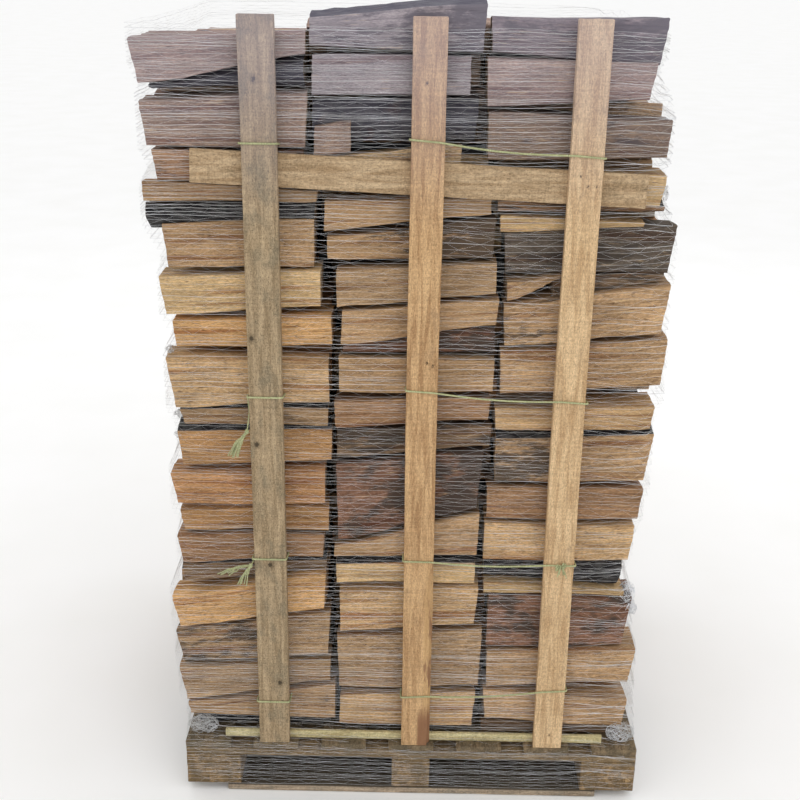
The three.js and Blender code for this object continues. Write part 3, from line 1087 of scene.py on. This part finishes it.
# The loops with loose ends, by kind and level: the knot's place from the batten and the loop,
# its turns (side, size, radius), its tail (bend, how far in), its tassels (drop, count, spread)
LOOSE_ENDS = {
    ("left", 2): ((-0.006, -0.014), [(0, 0.0055, 0.0017)], ((0.004, 0.01, 0.004), 0.003),
                  [((-0.056, -0.004, -0.016), 7, 0.010), ((-0.018, -0.004, -0.042), 6, 0.008)]),
    ("left", 3): ((-0.004, -0.072), [(0, 0.0055, 0.0017)], ((0.004, 0.012, 0.036), 0.001),
                  [((-0.028, -0.004, -0.052), 11, 0.010)]),
    ("pair", 2): ((0.002, 0.0), [(-0.006, 0.0075, 0.0017), (0.006, 0.0075, 0.0017)], None,
                  [((0.002, -0.003, -0.020), 6, 0.010)]),
}


def build_twine():
    finish = twine_fibre()
    battens = {place: (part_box(f"batten_front_{place}")[0].x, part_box(f"batten_front_{place}")[1].x)
               for place in PLACES}
    stops = [edge for pair in battens.values() for edge in pair]
    for kind in ("left", "pair"):
        for level in range(1, 5):
            node = f"twine_{kind}_{level}"
            low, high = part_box(node)
            inset = 0.002
            rise = {"left": 0.0, "pair": (high.z - low.z) - 0.004}[kind]
            falls = kind == "pair" and level not in (1,)
            z_left, z_right = low.z + 0.002, low.z + 0.002
            if falls:
                z_left += rise
            else:
                z_right += rise
            x_left, x_right = low.x + inset, high.x - inset
            y_front, y_back = low.y + inset, high.y - inset
            corners = [Vector((x_left, y_front, z_left)), Vector((x_right, y_front, z_right)),
                       Vector((x_right, y_back, z_right)), Vector((x_left, y_back, z_left))]
            line = with_sag(rounded_loop(corners, 0.004), stops, 0.006)
            loop = tube(f"twine_{kind}_{level}_round", [line], TWINE_RADIUS)
            front = low.y + 0.001
            extras = []
            if (kind, level) in LOOSE_ENDS:
                away, knots, tail, tassels = LOOSE_ENDS[kind, level]
                start = battens["left"][0] if kind == "left" else sum(battens["right"]) / 2
                height = z_left if kind == "left" else z_right
                at = Vector((start + away[0], front, height + away[1]))
                if tail:
                    bend, inwards = tail
                    line = [at, at + Vector(bend), Vector((at.x + inwards, front + 0.014, height))]
                    extras.append(tube("tail", [line], 0.0013, 5, False))
                for side, size, radius in knots:
                    centre = at + Vector((side, 0, 0.3 * side))
                    extras.append(tube("knot", [knot(centre, size)], radius, 6, False))
                for drop, count, spread in tassels:
                    lines = tassel(at, at + Vector(drop), count, spread)
                    extras.append(tube("ends", lines, 0.0012, 5, False))
            if extras:
                loop = join([loop, *extras], loop.name)
            loop.data.materials.clear()
            loop.data.materials.append(finish)
            pick(loop)
            bpy.ops.object.shade_smooth_by_angle(angle=math.radians(60))
            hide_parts(node)
            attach(loop, "root")


# ---------------------------------------------------------------- net

NET_TOP = 1.655
NET_FOOT = 0.02
STITCH = 0.033
STRONG_YARN, FINE_YARN, STITCH_YARN, SLACK_YARN = 0.0004, 0.0002, 0.00013, 0.00045


def net_pitch(z):
    """From one strand to the next: the turns lie closer round the top and the foot."""
    if z > 1.3:
        return 0.0062
    return 0.0070 if z < 0.35 else 0.0092


def reach(z, sign, stacks):
    """How far the stack reaches to a side near a height: the net bridges what stands back."""
    if z < 0.135:
        return 0.5
    far = 0.0
    for low, high, left, right, _ in stacks["left" if sign < 0 else "right"]:
        edge = -left if sign < 0 else right
        gap = max(low - z, z - high, 0.0)
        if gap < 0.09:
            far = max(far, edge - 0.5 * gap)
    if z < 0.35:
        far = max(far, 0.5 - (z - 0.135) * 0.12 if sign > 0 else 0.5 - (z - 0.135) * 0.05)
    return far


def net_outline(z, stacks):
    """The tight line round the logs, inside the battens, or round the pallet, at a height."""
    left, right = reach(z, -1, stacks), reach(z, 1, stacks)
    depth = 0.5 - 0.0318 * min(1.0, max(0.0, (z - 0.125) / 0.03))
    points = [(-left, -depth), (right, -depth), (right, depth), (-left, depth)]
    order = convex_hull_2d(points)
    hull = [Vector(points[i]) for i in order]
    start = min(range(len(hull)), key=lambda i: (hull[i].x, hull[i].y))
    hull = hull[start:] + hull[:start]
    if sum(a.x * b.y - b.x * a.y for a, b in zip(hull, [*hull[1:], hull[0]])) < 0:
        hull = [hull[0], *reversed(hull[1:])]
    return hull


def around(hull, count):
    """Points at equal steps round an outline, each with its outward direction."""
    sides = list(zip(hull, [*hull[1:], hull[0]]))
    total = sum((b - a).length for a, b in sides)
    points, side, done = [], 0, 0.0
    for i in range(count):
        target = total * i / count
        while side < len(sides) - 1 and done + (sides[side][1] - sides[side][0]).length < target:
            done += (sides[side][1] - sides[side][0]).length
            side += 1
        a, b = sides[side]
        run = (b - a).normalized()
        points.append((a + run * (target - done), Vector((run.y, -run.x))))
    return points, total


def net_height(base, x, y, row):
    """A strand's height at a place: strands wander, and fan out at the right end."""
    fan = min(1.0, max(0.0, (x - 0.33) / 0.12))
    angle = math.atan2(y, x)
    wander = noise.noise((2.2 * x, 2.2 * y, base * 3.1)) * 0.007
    tremble = noise.noise((9 * x, 9 * y, base * 40.0)) * 0.0035
    cross = fan * noise.noise((5 * x, 5 * y, row * 0.61)) * 0.022
    return base + wander + tremble + cross + 0.0015 * math.sin(3 * angle + row)


def build_net():
    """Knitted net: level strands all round, with fine zigzag stitches from each to the next."""
    stacks = {place: courses(place) for place in PLACES}
    count = 4 * round(1.0 / STITCH)
    levels, z = [], NET_FOOT
    while z < NET_TOP:
        levels.append(z)
        z += net_pitch(z) * rng.uniform(0.6, 1.4)
    rows = []
    for row, z in enumerate(levels):
        points, _ = around(net_outline(z, stacks), count)
        rows.append([Vector((p.x + 0.0008 * out.x, p.y + 0.0008 * out.y, net_height(z, p.x, p.y, row)))
                     for p, out in points])
    finish = net_yarn()
    half = len(rows) // 2
    for name, part in (("net_lower", rows[: half + 1]), ("net_upper", rows[half:])):
        strong = [rng.random() < strong_share(row[0].z) for row in part]
        parts = [
            tube(f"{name}_strong", [line for line, s in zip(part, strong) if s], STRONG_YARN, 3),
            tube(f"{name}_fine", [line for line, s in zip(part, strong) if not s], FINE_YARN, 3),
            tube(f"{name}_stitches", [stitch_line(a, b, k) for k, (a, b) in enumerate(zip(part, part[1:]))],
                 STITCH_YARN, 3),
        ]
        parts += [tube("gather", tangle(*place), SLACK_YARN, 3, False)
                  for part_name, *place in GATHERS if part_name == name]
        net = join(parts, name)
        net.data.materials.clear()
        net.data.materials.append(finish)
        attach(net, "root")


# Where slack net lies gathered: the part of the net, its middle and its size
GATHERS = (
    ("net_lower", (-0.465, -0.465, 0.150), (0.034, 0.02, 0.022), 44),
    ("net_lower", (0.466, -0.465, 0.150), (0.032, 0.02, 0.022), 44),
    ("net_lower", (0.458, -0.44, 0.494), (0.018, 0.02, 0.024), 40),
    ("net_lower", (0.466, -0.44, 0.456), (0.016, 0.02, 0.020), 30),
    ("net_upper", (-0.485, -0.44, 0.888), (0.012, 0.02, 0.008), 14),
    ("net_upper", (-0.487, -0.44, 0.845), (0.012, 0.02, 0.008), 14),
    ("net_upper", (-0.495, -0.44, 1.026), (0.012, 0.02, 0.006), 12),
    ("net_upper", (0.455, -0.44, 1.355), (0.014, 0.02, 0.018), 16),
)


def tangle(centre, size, count):
    """Slack yarn in a small heap."""
    lines = []
    for _ in range(count):
        line = []
        place = Vector([rng.uniform(-0.6, 0.6) for _ in range(3)])
        for _ in range(9):
            place += Vector([rng.uniform(-0.6, 0.6) for _ in range(3)])
            place /= max(1.0, place.length)
            line.append(Vector(centre) + Vector(size) * place)
        lines.append(line)
    return lines


def strong_share(z):
    """The share of strands that are two or three yarns drawn together."""
    if z > 1.25:
        return 0.42
    if z < 0.1:
        return 0.0
    return 0.3 if z < 0.35 else 0.16


def stitch_line(lower, upper, row):
    """The yarn that crosses from one strand to the next at uneven steps."""
    line = []
    for i in range(len(lower)):
        strand = (lower, upper)[(i + row) % 2]
        following = strand[(i + 1) % len(strand)]
        line.append(strand[i].lerp(following, 0.75 * rng.random()))
    return line


# ---------------------------------------------------------------- the room

def build_room():
    floor_material = floor_finish()
    clear_selection()
    bpy.ops.mesh.primitive_plane_add(size=160, location=(0, 0, -0.001))
    floor = bpy.context.active_object
    floor.name = "floor"
    floor.data.materials.append(floor_material)
    world = bpy.data.worlds.new("room")
    bpy.context.scene.world = world
    world.use_nodes = True
    world.node_tree.nodes["Background"].inputs["Color"].default_value = (1, 1, 1, 1)
    world.node_tree.nodes["Background"].inputs["Strength"].default_value = 1.0
    for name, place, power, size in (
        ("key", (1.8, -3.6, 3.6), 22, 2.4),
        ("fill", (-3.2, -3.0, 2.0), 5, 2.6),
        ("back", (0.5, 3.4, 3.2), 15, 2.4),
    ):
        light = bpy.data.lights.new(name, "AREA")
        light.energy, light.size = power, size
        lamp = bpy.data.objects.new(name, light)
        bpy.context.scene.collection.objects.link(lamp)
        lamp.location = place
        lamp.rotation_euler = (Vector((0, 0, 0.8)) - Vector(place)).to_track_quat("-Z", "Y").to_euler()
    camera_data = bpy.data.cameras.new("camera")
    camera_data.lens = 54
    camera_data.sensor_width = 36
    camera = bpy.data.objects.new("camera", camera_data)
    bpy.context.scene.collection.objects.link(camera)
    camera.matrix_world = (Matrix.Translation((-0.015, -2.708, 1.797))
                           @ Matrix.Rotation(math.radians(0.53), 4, "Z")
                           @ Matrix.Rotation(math.radians(90 - 21.02), 4, "X")
                           @ Matrix.Rotation(math.radians(0.84), 4, "Z"))
    bpy.context.scene.camera = camera
    bpy.context.scene.view_settings.view_transform = "Standard"


build_room()
build_logs()
build_boards()
build_twine()
build_net()
